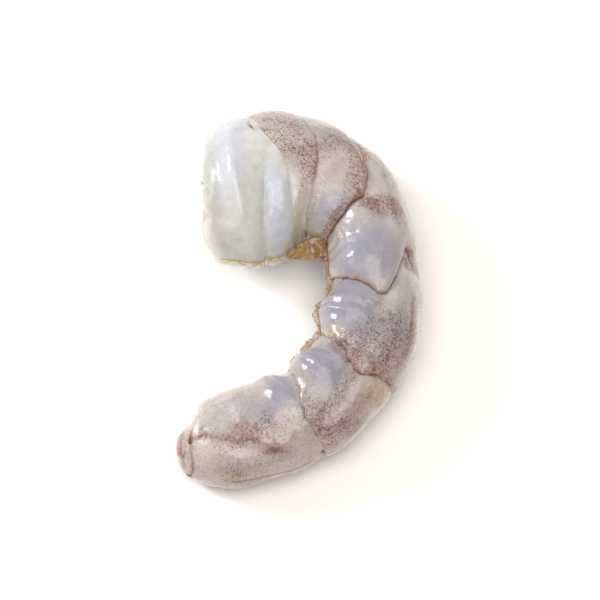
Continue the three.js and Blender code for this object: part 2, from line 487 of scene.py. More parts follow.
    def taper(self, spots: Spots) -> Numbers:
        """The part of a full section that is left at each spot, as the two ends round off.

        Args:
            spots: Where on the skin.

        Returns:
            The parts, from 0 to 1.
        """
        cap = self.front_cap + self.front_slant * (1 - smooth_step(spots.around, *self.slant_angles))
        size = np.ones_like(spots.place)
        for reach, power in (
            (spots.place / cap, self.cap_power),
            ((self.length - spots.place) / self.rear_cap, self.rear_power),
        ):
            size = size * (1 - (1 - np.clip(reach, 0, 1)) ** power) ** (1 / power)
        return size

    def midline(self, place: Numbers) -> tuple[Numbers, Numbers]:
        """The midline's course, with its front end at zero.

        Args:
            place: Places along the midline.

        Returns:
            The x and the y of each place.
        """
        steps = np.arange(0.0, self.length + self.midline_step, self.midline_step)
        heading = np.radians(self.along("heading", steps[:-1] + self.midline_step / 2))
        x = np.concatenate([[0.0], np.cumsum(np.cos(heading) * self.midline_step)])
        y = np.concatenate([[0.0], np.cumsum(np.sin(heading) * self.midline_step)])
        return np.interp(place, steps, x), np.interp(place, steps, y)

    def points(self, spots: Spots, lift: Numbers, inward: Numbers | float = 0.0) -> Numbers:
        """The skin's points.

        Args:
            spots: Where they are on the skin.
            lift: How far each one stands off the plain section.
            inward: How far each one is moved along the midline, towards the tail.

        Returns:
            An array with x, y, z on its last axis.
        """
        place = spots.place
        to_back, to_flank = cos_sin(spots.angle)
        size = self.taper(spots)
        back, belly = self.along("back", place), self.along("belly", place)
        depth = belly + (back - belly) * (0.5 + 0.5 * to_back)
        half = self.midline_step / 2
        turn = self.along("heading", place - half) - self.along("heading", place + half)
        room = 1 - np.radians(turn) / self.midline_step * depth * np.maximum(-to_back, 0)
        lift = lift * size * smooth_step(room, *self.tight_bend)
        out = (depth * size + lift) * to_back
        up = (self.along("side", place) * size + lift) * to_flank
        roll_cos, roll_sin = cos_sin(self.along("roll", place))
        out, up = out * roll_cos + up * roll_sin, up * roll_cos - out * roll_sin
        ahead_x, ahead_y = cos_sin(self.along("heading", place))
        x, y = self.midline(place)
        x = x - ahead_y * out + ahead_x * inward
        y = y + ahead_x * out + ahead_y * inward
        return vectors(x, y, np.maximum(self.along("height", place) + up, 0.0))


# ---- Fine relief ---------------------------------------------------------------------------------------


@dataclass(frozen=True)
class CutFace:
    """The cut face at the front end: muscle lobes with creases between them, about a shallow hollow."""

    depth: float = 0.65
    ends: tuple[float, float] = (3.0, 0.6)
    lobes: tuple[tuple[float, float], ...] = (
        (0.66, 0.30),
        (0.58, -0.40),
        (0.16, 0.62),
        (0.06, -0.04),
        (-0.02, -0.68),
        (-0.36, 0.34),
        (-0.52, -0.30),
        (-0.80, 0.12),
    )
    lobe_round: float = 0.6
    crease_width: float = 0.09
    edge: tuple[float, float] = (1.0, 0.8)
    hollow: float = 0.5
    hollow_reach: tuple[float, float] = (0.9, 0.2)
    warp: float = 0.15
    warp_noise: tuple[LatticeNoise, LatticeNoise] = (LatticeNoise(61, 0.40), LatticeNoise(62, 0.40))
    roughness: float = 0.35
    rough_noise: LatticeNoise = LatticeNoise(63, 0.3)

    def folds(self, form: BodyForm, spots: Spots) -> Numbers:
        """How far the face sinks in.

        Args:
            form: The body's shape.
            spots: Where on the skin.

        Returns:
            The depths, along the midline.
        """
        size = form.taper(spots)
        face = [size * side for side in cos_sin(spots.angle)]
        where = vectors(*face)
        warped = [side + self.warp * noise(where) for side, noise in zip(face, self.warp_noise)]
        to_lobes = [np.hypot(warped[0] - back, warped[1] - flank) for back, flank in self.lobes]
        reach = np.sort(to_lobes, axis=0)
        folded = bell((reach[1] - reach[0]) / self.crease_width) + self.lobe_round * reach[0]
        depth = smooth_step(size, *self.edge) * folded + self.hollow * smooth_step(size, *self.hollow_reach)
        depth += self.roughness * self.rough_noise(where)
        return self.depth * smooth_step(spots.place, *self.ends) * depth


@dataclass(frozen=True)
class FineRelief:
    """The relief that is too fine for the solid: wrinkles, fibres, lobes, slits and worn edges."""

    degree: float = 0.14
    segment_gap: float = 3.1
    bare_edge: tuple[float, float] = (1.02, 0.9)
    lump_height: float = 0.09
    lumps: LatticeNoise = LatticeNoise(14, 2.4)
    grain_height: float = 0.055
    grain: LatticeNoise = LatticeNoise(15, 0.9)
    wrinkle_height: float = 0.075
    wrinkle_angle: float = 142.0
    wrinkle_spread: float = 30.0
    strands: TwoGrains = TwoGrains(16, 0.8, 0.4)
    strand_stretch: float = 0.22
    fibre_height: float = 0.015
    streaks: TwoGrains = TwoGrains(11, 0.9, 0.45)
    streak_stretch: float = 0.16
    streak_share: float = 0.5
    lobe_height: float = 0.15
    lobes: LatticeNoise = LatticeNoise(13, 2.8)
    lobe_stretch: tuple[float, float, float] = (1.0, 0.7, 1.0)
    rim_overhang: float = 0.22
    rim_width: float = 0.35
    rim_peak: float = 0.8
    rim_angles: tuple[float, float] = (50, 80)
    seam_waver: float = 0.22
    waver_reach: float = 1.2
    waver_degrees: float = 9.0
    waver_seam_gap: float = 7.3
    waver: TwoGrains = TwoGrains(5, 1.0, 0.4, 0.6)
    fold_gap: float = 2.3
    fold_waver: float = 1.4
    fold_noise: LatticeNoise = LatticeNoise(18, 2.6)
    folds: tuple[Patch, ...] = (
        Patch(43.2, 142, 3.6, 26, 0.10),
        Patch(54.6, 138, 3.0, 24, 0.09),
        Patch(63.0, 142, 1.8, 20, 0.07),
        Patch(32.0, 154, 3.8, 12, 0.08),
    )
    slits: tuple[Area, ...] = (
        Band((57, 60, 64), (8.1, 8.3, 8.6), 0.28, 0.30),
        Patch(77.4, 105, 0.35, 9, 0.40),
        Band((6, 40, 70, 104), (78.0, 77.4, 77.5, 77.4), 0.28, 0.28),
        Patch(60.8, 15, 0.30, 5, 0.20),
    )
    ridges: tuple[Area, ...] = (
        Band((62, 84, 108, 134), (5.3, 4.9, 5.1, 6.0), 0.85, 0.32),
        Patch(52.6, 60, 0.55, 8, 0.22),
        Patch(41.8, 104, 0.55, 7, 0.25),
    )
    rim_ridge: Stripe = Stripe((16.0, 25.0, 30.0, 35.0, 40.0, 46.0), (24, 24, 22, 15, 10, 8), 3, 0.10)

    def waver_seams(self, form: BodyForm, spots: Spots) -> None:
        """Moves the spots near each seam a little along the body, so that no seam is an even line.

        Args:
            form: The body's shape.
            spots: The spots, which are changed.
        """
        seam = np.rint(spots.ring)
        where = vectors(spots.angle / self.waver_degrees, seam * self.waver_seam_gap)
        near = bell(np.minimum(spots.since_front, spots.to_rear) / self.waver_reach)
        inner = (seam > 0) & (seam < len(form.swells))
        spots.place = spots.place + np.where(inner, self.seam_waver * near * self.waver(where), 0.0)

    def lift(self, spots: Spots, points: Numbers) -> Numbers:
        """How far the fine relief stands off the solid's surface.

        Args:
            spots: Where on the skin.
            points: The solid's surface there.

        Returns:
            The heights.
        """
        bare = smooth_step(spots.ring, *self.bare_edge)
        girth, apart = spots.angle * self.degree, spots.segment * self.segment_gap
        streaks = self.streaks(vectors(spots.place, girth * self.streak_stretch, apart))
        strands = self.strands(vectors(spots.place * self.strand_stretch, girth, apart))
        belly_side = bell((spots.around - self.wrinkle_angle) / self.wrinkle_spread)
        turn = 2 * np.pi * spots.place / self.fold_gap + self.fold_waver * self.fold_noise(points)
        total = self.lump_height * self.lumps(points)
        total += self.grain_height * self.grain(points)
        total += self.wrinkle_height * (self.streak_share * streaks + strands) * belly_side * (1 - bare)
        total += self.fibre_height * streaks * bare
        total += self.lobe_height * self.lobes(points * np.array(self.lobe_stretch)) * bare
        total += gather(self.folds, spots) * np.cos(turn)
        total += self.rim_ridge.over(spots) * (spots.angle > 0)
        return total + gather(self.ridges, spots) - gather(self.slits, spots)

    def overhang(self, spots: Spots) -> Numbers:
        """How far each segment's rear edge reaches over the seam behind it."""
        reach = self.rim_overhang * smooth_step(spots.around, *self.rim_angles) * (spots.segment > 0)
        return reach * bell(spots.to_rear / self.rim_width - self.rim_peak)


# ---- Marks on the skin ---------------------------------------------------------------------------------


class Mark(Enum):
    """What the skin shows besides its shape. Each is a share from 0 to 1 kept on the vertices."""

    SPECKS = "specks"
    HAZE = "haze"
    LILAC = "lilac"
    MILK = "milk"
    AMBER = "amber"
    RUST = "rust"
    CLEAR = "clear"
    # Painted highlights: a cream line along the back, which also stands for the pale torn edge of the skin
    # there, and a highlight streak on the tail's shoulder.
    PALE_EDGE_AND_PAINTED_HIGHLIGHT = "rim"
    DULL = "dull"
    LINE = "line"


@dataclass(frozen=True)
class SkinEdge:
    """Where the skin starts behind the bare flesh, by ring coordinate, and how it slants and wavers."""

    first: float
    last: float
    slant: float
    waver: float
    slant_angles: tuple[float, float] = (80, 112)

    def skin(self, spots: Spots, noise: Numbers) -> Numbers:
        """Goes from 0 on the bare flesh to 1 on the skin, along an edge that the noise wavers."""
        last = self.last + self.slant * smooth_step(spots.around, *self.slant_angles)
        return smooth_step(spots.ring + self.waver * noise, self.first, last)


@dataclass(frozen=True)
class SeamLine:
    """The dark line in one seam: which seam, how dark, and the angles it runs between."""

    seam: int
    amount: float
    low: float
    high: float


@dataclass(frozen=True)
class Dapple:
    """How unevenly a mark lies: its usual strength, and how far broad and fine noise change it."""

    mark: Mark
    usual: float
    broad: float
    fine: float


@dataclass(frozen=True)
class SkinMarks:
    """Where the skin is specked, hazed, tinted, clear or lined, and where highlights are painted on. Each
    mark's areas have the mark's name.
    """

    broad_noise: LatticeNoise = LatticeNoise(21, 2.6)
    fine_noise: LatticeNoise = LatticeNoise(22, 1.1)
    skin_edge: SkinEdge = SkinEdge(0.93, 1.05, 0.45, 0.08)
    milk_edge: SkinEdge = SkinEdge(0.85, 1.05, 0.55, 0.10)
    speck_ground: float = 0.42
    speck_broad: float = 0.22
    speck_fine: float = 0.16
    speck_edges: tuple[float, ...] = (0, 0.70, 1.3, 0.0, 0.45, 0.25, 0.0)
    edge_width: float = 2.6
    edge_haze: float = 0.2
    rust_edges: tuple[float, ...] = (0, 0.12, 0.62, 0.0, 0.25, 0.12, 0.0)
    rust_width: float = 1.7
    rust_angles: tuple[float, float] = (36, 56)
    rust_haze: float = 0.65
    specks: tuple[Area, ...] = (
        Patch(14.4, 122, 1.5, 30, -0.60),
        Patch(16.4, 158, 2.6, 34, -0.80),
        Patch(17.4, 136, 1.5, 26, -0.80),
        Patch(12.4, 62, 2.9, 32, 0.50),
        Patch(15.4, 92, 1.6, 36, 0.25),
        Patch(15.6, 48, 1.4, 24, -1.1),
        Patch(18.8, 60, 2.5, 28, 0.60),
        Patch(19.9, 98, 2.0, 30, -0.45),
        Patch(24.0, 138, 2.9, 34, -0.85),
        Patch(24.2, 54, 2.2, 28, -1.3),
        Patch(28.1, 80, 1.7, 24, 0.55),
        Patch(29.8, 62, 2.0, 14, 0.45),
        Patch(34.6, 118, 6.4, 50, -1.3),
        Patch(34.8, 56, 1.5, 12, 0.80),
        Patch(39.0, 68, 2.4, 16, -0.60),
        Patch(43.4, 138, 4.8, 28, -0.75),
        Patch(47.6, 112, 2.6, 18, 0.25),
        Patch(46.4, 82, 4.2, 40, 0.48),
        Patch(50.4, 124, 1.3, 16, 0.60),
        Patch(54.6, 132, 4.0, 28, -0.70),
        Patch(53.4, 46, 2.4, 28, -0.75),
        Stripe((51.0, 53.5, 56.6, 61.6), (113, 92, 80, 88), 12, 0.50),
        Patch(58.6, 48, 3.0, 34, 0.38),
        Patch(62.4, 136, 2.2, 22, -0.50),
        Patch(61.8, 66, 1.0, 12, -0.40),
        Patch(64.0, 76, 2.4, 18, 0.40),
        Patch(69.4, 86, 4.4, 14, 0.45),
        Patch(69.2, 118, 6.6, 24, -0.12),
        Patch(71.0, 40, 8.0, 30, 0.08),
        Patch(26.8, 98, 1.2, 12, 0.60),
    )
    haze: tuple[Area, ...] = (
        Patch(17.2, 142, 1.8, 36, -0.60),
        Patch(15.2, 80, 2.0, 44, 0.14),
        Patch(18.6, 60, 2.4, 26, 0.28),
        Patch(28.1, 80, 1.8, 22, 0.90),
        Patch(29.8, 61, 2.4, 12, 0.75),
        Patch(26.8, 97, 1.1, 12, 0.60),
        Patch(34.8, 56, 1.5, 12, 1.6),
        Patch(38.4, 74, 1.6, 12, 0.30),
        Patch(41.4, 103, 0.9, 14, 0.40),
        Patch(46.2, 82, 4.2, 38, 0.10),
        Patch(50.4, 124, 1.2, 15, 0.80),
        Patch(53.4, 36, 3.2, 36, 0.55),
        Patch(50.3, 82, 1.3, 26, 0.55),
        Stripe((51.0, 53.5, 56.6, 61.6), (113, 92, 80, 88), 10, 0.45),
        Patch(58.8, 48, 3.0, 34, 0.34),
        Patch(64.0, 78, 2.0, 16, 0.35),
        Patch(69.4, 86, 4.2, 13, 0.42),
        Patch(56.8, 98, 4.0, 22, 0.12),
        Stripe((64.9, 66.7, 68.1, 73.1, 77.3), (49, 58, 73, 90, 104), 6.5, 0.50),
        Patch(76.4, 104, 1.6, 10, 0.60),
        Stripe((27.0, 30.0, 36.0), (34, 30, 24), 6, 0.6),
        Patch(70.0, 38, 8.5, 34, 0.12),
        Patch(77.8, 60, 1.2, 46, 0.25),
        Stripe((39.5, 42.0, 45.0, 49.0), (54, 50, 48, 46), 7, 1.3),
        Patch(56.9, 64, 2.4, 18, 0.32),
        Patch(79.0, 96, 1.1, 80, 0.60),
        Stripe((9.0, 40.0, 76.0), (0, 0, 0), 8, 0.45),
    )
    lilac: tuple[Area, ...] = (
        Patch(11.0, 128, 1.7, 34, 1.0),
        Patch(4.8, 82, 2.4, 34, 0.80),
        Patch(15.6, 48, 1.6, 22, 0.35),
        Patch(18.2, 58, 2.4, 24, 0.60),
        Patch(24.0, 130, 2.8, 34, 0.75),
        Patch(34.8, 116, 6.6, 50, 0.90),
        Patch(43.5, 134, 4.8, 32, 1.0),
        Patch(45.8, 84, 4.6, 42, 0.60),
        Patch(54.2, 128, 4.6, 34, 1.0),
        Patch(57.0, 84, 4.4, 44, 0.40),
        Patch(62.6, 128, 2.4, 24, 0.80),
        Patch(68.4, 113, 7.2, 26, 0.50),
        Patch(64.4, 101, 2.8, 18, 0.18),
        Patch(69.5, 38, 8.0, 34, 0.18),
        Patch(20.4, 108, 1.4, 22, 0.25),
    )
    clear: tuple[Area, ...] = (
        Patch(15.6, 48, 1.4, 24, 0.7),
        Patch(24.2, 54, 2.2, 28, 1.4),
        Patch(39.0, 67, 2.2, 16, 0.7),
        Patch(53.4, 44, 2.3, 28, 0.7),
        Patch(61.8, 66, 1.0, 12, 0.6),
        Patch(1.6, 116, 1.9, 60, 0.7),
    )
    amber: tuple[Area, ...] = (
        Patch(15.8, 156, 1.7, 34, 0.55),
        Patch(6.0, 178, 6.2, 9, 0.45),
        Patch(1.2, 150, 2.4, 40, 0.25),
        Patch(22.0, 178, 5.0, 14, 0.90),
        Patch(48.2, 137, 1.1, 9, 0.60),
        Patch(53.2, 40, 2.8, 30, 0.42),
        Patch(36.6, 160, 1.0, 12, 0.60),
        Stripe((61.4, 66.0, 69.0, 75.0), (8, 14, 22, 24), 6, 0.45),
    )
    rust: tuple[Area, ...] = (
        Patch(17.4, 146, 1.2, 34, -0.50),
        Patch(20.7, 54, 1.1, 12, 1.20),
        Patch(57.2, 66, 2.0, 14, 0.25),
        Patch(24.8, 176, 6.0, 9, 0.60),
        Patch(28.2, 78, 1.4, 18, 0.45),
        Stripe((65.5, 66.7, 68.7, 72.0), (58, 76, 94, 99), 4.5, 0.85),
        Patch(50.6, 84, 1.0, 24, 0.45),
        Patch(60.2, 62, 1.0, 26, 0.12),
        Patch(77.5, 70, 0.5, 60, 0.20),
    )
    # Painted highlights, kept as the rim mark: a cream line along the back, which also stands for the pale
    # torn edge of the skin, and a highlight streak on the tail's shoulder.
    rim: tuple[Area, ...] = (
        Stripe((16.0, 25.0, 30.0, 35.0, 40.0, 46.0), (24, 24, 22, 15, 10, 8), 2.4, 0.6),
        Patch(76.5, 116, 0.35, 12, 1.0),
    )
    milk: tuple[Area, ...] = (
        Patch(15.3, 44, 1.3, 24, 0.55),
        Patch(24.4, 34, 1.4, 12, 0.25),
        Patch(17.2, 140, 1.9, 34, 0.55),
        Patch(24.0, 142, 2.2, 34, 0.50),
        Patch(38.6, 66, 1.6, 14, 0.15),
    )
    dull: tuple[Area, ...] = (
        Patch(2.0, 98, 1.9, 46, 0.8),
        Patch(74.8, 98, 2.6, 26, 0.9),
        Patch(69.0, 114, 4.5, 24, 0.8),
        Patch(77.9, 80, 1.5, 60, 0.6),
        Patch(46.2, 70, 5.0, 34, 0.5),
        Patch(61.8, 128, 0.9, 14, 0.6),
    )
    line: tuple[Area, ...] = (
        Band((57, 60, 64), (8.1, 8.3, 8.6), 0.26, 1.0),
        Patch(24.3, 56, 0.20, 2.6, 0.55),
        Band((96, 110, 128), (77.6, 77.5, 77.0), 0.26, 0.9),
        Band((6, 40, 70, 104), (78.0, 77.4, 77.5, 77.4), 0.15, 0.45),
        Patch(78.1, 12, 0.45, 7, 1.0),
        Band((60, 90, 120, 150), (78.9, 78.9, 78.7, 78.4), 0.30, 0.38),
        Stripe((64.9, 66.7, 68.1, 73.1, 77.3), (49, 58, 73, 90, 104), 3.4, 0.26),
        Patch(66.9, 58, 1.7, 5, 0.50),
        Stripe((40.2, 42.0, 44.6), (55, 52, 50), 2.8, 0.60),
        Patch(60.8, 15, 0.30, 5, 0.95),
        Patch(29.2, 174, 1.0, 8, 0.8),
        Patch(20.8, 176, 0.9, 9, 0.8),
        Patch(48.6, 66, 0.4, 4, 0.6),
        Patch(44.3, 90, 0.35, 5, 0.5),
        Stripe((30.0, 35.0, 41.0), (171, 170, 168), 2.0, 0.75),
        Stripe((61.2, 64.0, 67.4, 72.3), (3, 8, 14, 20), 1.8, 0.85),
    )
    seam_lines: tuple[SeamLine, ...] = (
        SeamLine(2, 0.40, 40, 120),
        SeamLine(3, 0.80, 28, 150),
        SeamLine(4, 1.00, 54, 164),
        SeamLine(5, 0.75, 36, 104),
        SeamLine(6, 0.30, 0, 70),
    )
    line_fade: float = 12.0
    seam_stain: float = 0.9
    stain_width: float = 0.7
    stain_behind: float = 0.4
    line_width: float = 0.23
    worn_least: float = 0.35
    worn_broad: float = 0.6
    worn_reach: tuple[float, float] = (-0.9, 0.0)
    vein_height: float = 0.60
    vein_width: float = 0.06
    vein_reach: float = 3.0
    dapples: tuple[Dapple, ...] = (
        Dapple(Mark.HAZE, 1.0, 0.7, 0.5),
        Dapple(Mark.LILAC, 1.0, 0.3, 0.0),
        Dapple(Mark.AMBER, 1.0, 0.0, 0.5),
        Dapple(Mark.RUST, 0.9, 0.0, 0.8),
        Dapple(Mark.CLEAR, 1.0, 0.0, 0.3),
        Dapple(Mark.PALE_EDGE_AND_PAINTED_HIGHLIGHT, 0.9, 0.0, 0.4),
    )

    def seam_line(self, spots: Spots, width: float) -> Numbers:
        """The dark line that lies in each seam, where the seam has one.

        Args:
            spots: Where on the skin.
            width: The line's half width.

        Returns:
            The line's share.
        """
        near = bell(np.minimum(spots.since_front, spots.to_rear) / width)
        total = np.zeros_like(spots.place)
        for line in self.seam_lines:
            fade = smooth_step(spots.around, line.low - self.line_fade, line.low)
            fade = fade * smooth_step(spots.around, line.high + self.line_fade, line.high)
            total += np.where(np.rint(spots.ring) == line.seam, line.amount * fade * near, 0.0)
        return total

    def seam_stain_share(self, spots: Spots) -> Numbers:
        """The rusty stain about each seam, weaker behind it."""
        stain = self.seam_stain * self.seam_line(spots, self.stain_width)
        return stain * np.where(spots.to_rear < spots.since_front, 1.0, self.stain_behind)

    def vein_end(self, spots: Spots, size: Numbers) -> Numbers:
        """The dark end of the vein, on the cut face.

        Args:
            spots: Where on the skin.
            size: The part of the full section that is left there.

        Returns:
            The shares.
        """
        to_back, to_flank = (size * side for side in cos_sin(spots.angle))
        off = np.hypot(to_back - self.vein_height, to_flank) / self.vein_width
        return bell(off) * (spots.place < self.vein_reach)

    def rear_edges(self, spots: Spots, amounts: tuple[float, ...], width: float) -> Numbers:
        """A mark along each segment's rear edge, by an amount for each segment."""
        return np.asarray(amounts)[spots.segment] * bell(spots.to_rear / width)

    def shares(self, spots: Spots, points: Numbers, size: Numbers) -> dict[Mark, Numbers]:
        """Works out every mark.

        Args:
            spots: Where on the skin.
            points: The skin's points there.
            size: The part of the full section that is left there.

        Returns:
            One array for each mark, from 0 to 1.
        """
        broad, fine = self.broad_noise(points), self.fine_noise(points)
        skin = self.skin_edge.skin(spots, fine)
        edge = self.rear_edges(spots, self.speck_edges, self.edge_width)
        rusty = self.rear_edges(spots, self.rust_edges, self.rust_width)
        rusty = rusty * smooth_step(spots.around, *self.rust_angles)
        worn = smooth_step(fine + self.worn_broad * broad, *self.worn_reach)
        line = self.seam_line(spots, self.line_width) * (self.worn_least + (1 - self.worn_least) * worn)
        added = {
            Mark.SPECKS: self.speck_ground + edge + self.speck_broad * broad + self.speck_fine * fine,
            Mark.HAZE: self.edge_haze * edge + self.rust_haze * rusty,
            Mark.MILK: 1 - self.milk_edge.skin(spots, fine),
            Mark.RUST: self.seam_stain_share(spots) + rusty,
            Mark.LINE: line + self.vein_end(spots, size),
        }
        within = {Mark.SPECKS: skin, Mark.HAZE: skin, Mark.PALE_EDGE_AND_PAINTED_HIGHLIGHT: spots.angle > 0}
        uneven = {row.mark: row.usual + row.broad * broad + row.fine * fine for row in self.dapples}
        shares = {}
        for mark in Mark:
            share = gather(getattr(self, mark.value), spots) + added.get(mark, 0.0)
            shares[mark] = np.clip(share * uneven.get(mark, 1.0) * within.get(mark, 1.0), 0, 1)
        return shares


# ---- Meshes --------------------------------------------------------------------------------------------


@dataclass(frozen=True)
class Placing:
    """Carries points from the body's own millimetres to the frame's metres."""

    shift: tuple[float, float]

    @classmethod
    def onto(cls, points: Numbers, node: str) -> Placing:
        """Places the body so that its box has the same middle as the node's.

        Args:
            points: The body's points, in millimetres.
            node: The node that it stands for.

        Returns:
            The placing.
        """
        low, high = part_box(node)
        flat = points.reshape(-1, 3)
        middle = (flat.min(0) + flat.max(0)) / 2
        return cls(tuple((low[i] + high[i]) / 2 / MM - middle[i] for i in range(2)))

    def metres(self, points: Numbers) -> Numbers:
        """The points in the frame, in metres."""
        return (points + np.array([*self.shift, 0.0])) * MM


def make_mesh(name: str, vertices: Numbers, faces: list[tuple[int, ...]]) -> bpy.types.Object:
    """Makes a smooth-shaded mesh object.

    Args:
        name: The object's name.
        vertices: The points, in metres.
        faces: The corners of each face.

    Returns:
        The object, in the scene.
    """
    mesh = bpy.data.meshes.new(name)
    mesh.from_pydata(vertices.tolist(), [], faces)
    mesh.validate()
    mesh.shade_smooth()
    piece = bpy.data.objects.new(name, mesh)
    bpy.context.scene.collection.objects.link(piece)
    return piece


def keep_marks(piece: bpy.types.Object, shares: dict[Mark, Numbers]) -> None:
    """Keeps each mark on the mesh, one number for each vertex.

    Args:
        piece: The mesh object.
        shares: For each mark, a number for each vertex.
    """
    for mark, share in shares.items():
        layer = piece.data.attributes.new(mark.value, "FLOAT", "POINT")
        layer.data.foreach_set("value", share.astype(np.float32).ravel())


def hand_over(piece: bpy.types.Object, finish: bpy.types.Material) -> None:
    """Gives a piece its finish and says that it rides on the body.

    Args:
        piece: The piece.
        finish: Its material.
    """
    piece.data.materials.append(finish)
    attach(piece, BODY)
    log.info("%s: %d faces", piece.name, len(piece.data.polygons))


# ---- Finishes ------------------------------------------------------------------------------------------


@dataclass(frozen=True)
class NodeBench:
    """Adds and joins a node tree's nodes with few words."""

    tree: bpy.types.NodeTree

    def feed(self, node: bpy.types.Node, inputs: Inputs) -> None:
        """Joins an output to each input, or sets the input to a number, vector or colour.

        Args:
            node: The node.
            inputs: What goes to each of its inputs.
        """
        for name, value in inputs.items():
            socket = node.inputs[name]
            if isinstance(value, bpy.types.NodeSocket):
                self.tree.links.new(value, socket)
            else:
                socket.default_value = (*value, 1.0) if socket.type == "RGBA" else value

    def add(self, kind: str, inputs: Inputs, **settings: object) -> bpy.types.Node:
        """Adds a node.

        Args:
            kind: The node's type.
            inputs: What goes to its inputs.
            **settings: Its other settings.

        Returns:
            The node.
        """
        node = self.tree.nodes.new(kind)
        for name, value in settings.items():
            setattr(node, name, value)
        self.feed(node, inputs)
        return node

    def math(self, operation: str, *values: object, clamp: bool = False) -> Socket:
        """A sum, product or the like of numbers."""
        inputs = dict(enumerate(values))
        return self.add("ShaderNodeMath", inputs, operation=operation, use_clamp=clamp).outputs[0]

    def remap(self, value: object, reach: tuple[object, ...], onto: tuple[float, ...]) -> Socket:
        """Takes the numbers of one reach smoothly onto those of another."""
        inputs = dict(enumerate((value, *reach, *onto)))
        return self.add("ShaderNodeMapRange", inputs, interpolation_type="SMOOTHSTEP").outputs[0]

    def mix(self, share: object, first: object, second: object, blend: str = "MIX") -> Socket:
        """Lays a share of the second colour over the first: sockets 6, 7 and 2 are the colour ones."""
        inputs = {0: share, 6: first, 7: second}
        return self.add("ShaderNodeMix", inputs, data_type="RGBA", blend_type=blend).outputs[2]

    def noise(self, where: Socket, grain: float, detail: float = 2.0, output: str = "Fac") -> Socket:
        """Noise, by the size of its grain in millimetres."""
        inputs = {"Vector": where, "Scale": 1 / (grain * MM), "Detail": detail}
        return self.add("ShaderNodeTexNoise", inputs).outputs[output]

    def mark(self, mark: Mark) -> Socket:
        """A mark's share, as kept on the mesh."""
        return self.add("ShaderNodeAttribute", {}, attribute_name=mark.value).outputs["Fac"]

    def here(self) -> Socket:
        """Where on the object the shaded spot is."""
        return self.add("ShaderNodeTexCoord", {}).outputs["Object"]


def new_material(name: str) -> tuple[bpy.types.Material, NodeBench, bpy.types.Node]:
    """Makes a material.

    Args:
        name: Its name.

    Returns:
        The material, a bench for its nodes and its main shader.
    """
    material = bpy.data.materials.new(name)
    material.use_nodes = True
    return material, NodeBench(material.node_tree), material.node_tree.nodes["Principled BSDF"]


def new_group(name: str, inputs: dict[str, float], outputs: tuple[str, ...]) -> bpy.types.NodeTree:
    """Makes an empty shader node group whose sockets are all plain numbers.

    Args:
        name: The group's name.
        inputs: Each input's name and its usual value.
        outputs: The outputs' names.

    Returns:
        The group.
    """
    group = bpy.data.node_groups.new(name, "ShaderNodeTree")
    for label, usual in inputs.items():
        socket = group.interface.new_socket(label, in_out="INPUT", socket_type="NodeSocketFloat")
        socket.default_value = usual
    for label in outputs:
        group.interface.new_socket(label, in_out="OUTPUT", socket_type="NodeSocketFloat")
    return group


@dataclass(frozen=True)
class DotSize:
    """One size of pigment dot: how far apart its cells are, and how far a dot reaches in one."""

    cell: float
    reach: float
    strength: float


@dataclass(frozen=True)
class SpeckGroup:
    """The pigment specks: small uneven dots of a few sizes, as dense as they are asked to be."""

    name: str = "pigment specks"
    sizes: tuple[DotSize, ...] = (
        DotSize(0.17, 0.74, 0.50),
        DotSize(0.27, 0.72, 0.90),
        DotSize(0.42, 0.56, 1.0),
    )
    wobble: float = 0.20
    wobbles: float = 1.2
    smallest: float = 0.6
    faintest: float = 0.45
    core: float = 0.5

    def layer(self, bench: NodeBench, size: DotSize, density: Socket) -> Socket:
        """One size of dots.

        Args:
            bench: The group's bench.
            size: The dots' size.
            density: How dense the dots are, from 0 to 1.

        Returns:
            The dots: up to 1 inside one, 0 between them.
        """
        where = bench.here()
        wobble = bench.noise(where, size.cell / self.wobbles, detail=1.0, output="Color")
        shift = {0: wobble, 1: (self.wobble * MM,) * 3, 2: where}
        shifted = bench.add("ShaderNodeVectorMath", shift, operation="MULTIPLY_ADD").outputs[0]
        cells = bench.add("ShaderNodeTexVoronoi", {"Vector": shifted, "Scale": 1 / (size.cell * MM)}).outputs
        chance, width, strength = bench.add("ShaderNodeSeparateColor", {0: cells["Color"]}).outputs
        present = bench.math("LESS_THAN", chance, density)
        radius = bench.remap(width, (0.0, 1.0), (self.smallest * size.reach, size.reach))
        core = bench.math("MULTIPLY", radius, self.core)
        dot = bench.remap(cells["Distance"], (core, radius), (1.0, 0.0))
        depth = bench.remap(strength, (0.0, 1.0), (self.faintest * size.strength, size.strength))
        return bench.math("MULTIPLY", bench.math("MULTIPLY", dot, present), depth)

    def build(self) -> bpy.types.NodeTree:
        """Makes the group.

        Returns:
            The group, whose density goes from 0 to 1.
        """
        group = new_group(self.name, {"Density": 0.5}, ("Specks",))
        bench = NodeBench(group)
        density = bench.add("NodeGroupInput", {}).outputs["Density"]
        specks, *others = (self.layer(bench, size, density) for size in self.sizes)
        for other in others:
            specks = bench.math("MAXIMUM", specks, other)
        bench.add("NodeGroupOutput", {"Specks": specks})
        return group


@dataclass(frozen=True)
class WetGroup:
    """The fine unevenness of wet flesh: pores and slow ripples, as one height."""

    name: str = "wet unevenness"
    pore: float = 0.22
    pore_share: float = 0.4
    ripple: float = 1.3
    dapple: tuple[float, float] = (0.35, 0.65)

    def build(self) -> bpy.types.NodeTree:
        """Makes the group.

        Returns:
            The group, which puts out a height and the dapple of its ripples.
        """
        group = new_group(self.name, {"Pores": self.pore_share, "Ripples": 1.0}, ("Height", "Dapple"))
        bench = NodeBench(group)
        given = bench.add("NodeGroupInput", {}).outputs
        where = bench.here()
        ripples = bench.noise(where, self.ripple, detail=3.0)
        pores = bench.math("MULTIPLY", bench.noise(where, self.pore), given["Pores"])
        height = bench.math("ADD", pores, bench.math("MULTIPLY", ripples, given["Ripples"]))
        dapple = bench.remap(ripples, self.dapple, (0.0, 1.0))
        bench.add("NodeGroupOutput", {"Height": height, "Dapple": dapple})
        return group


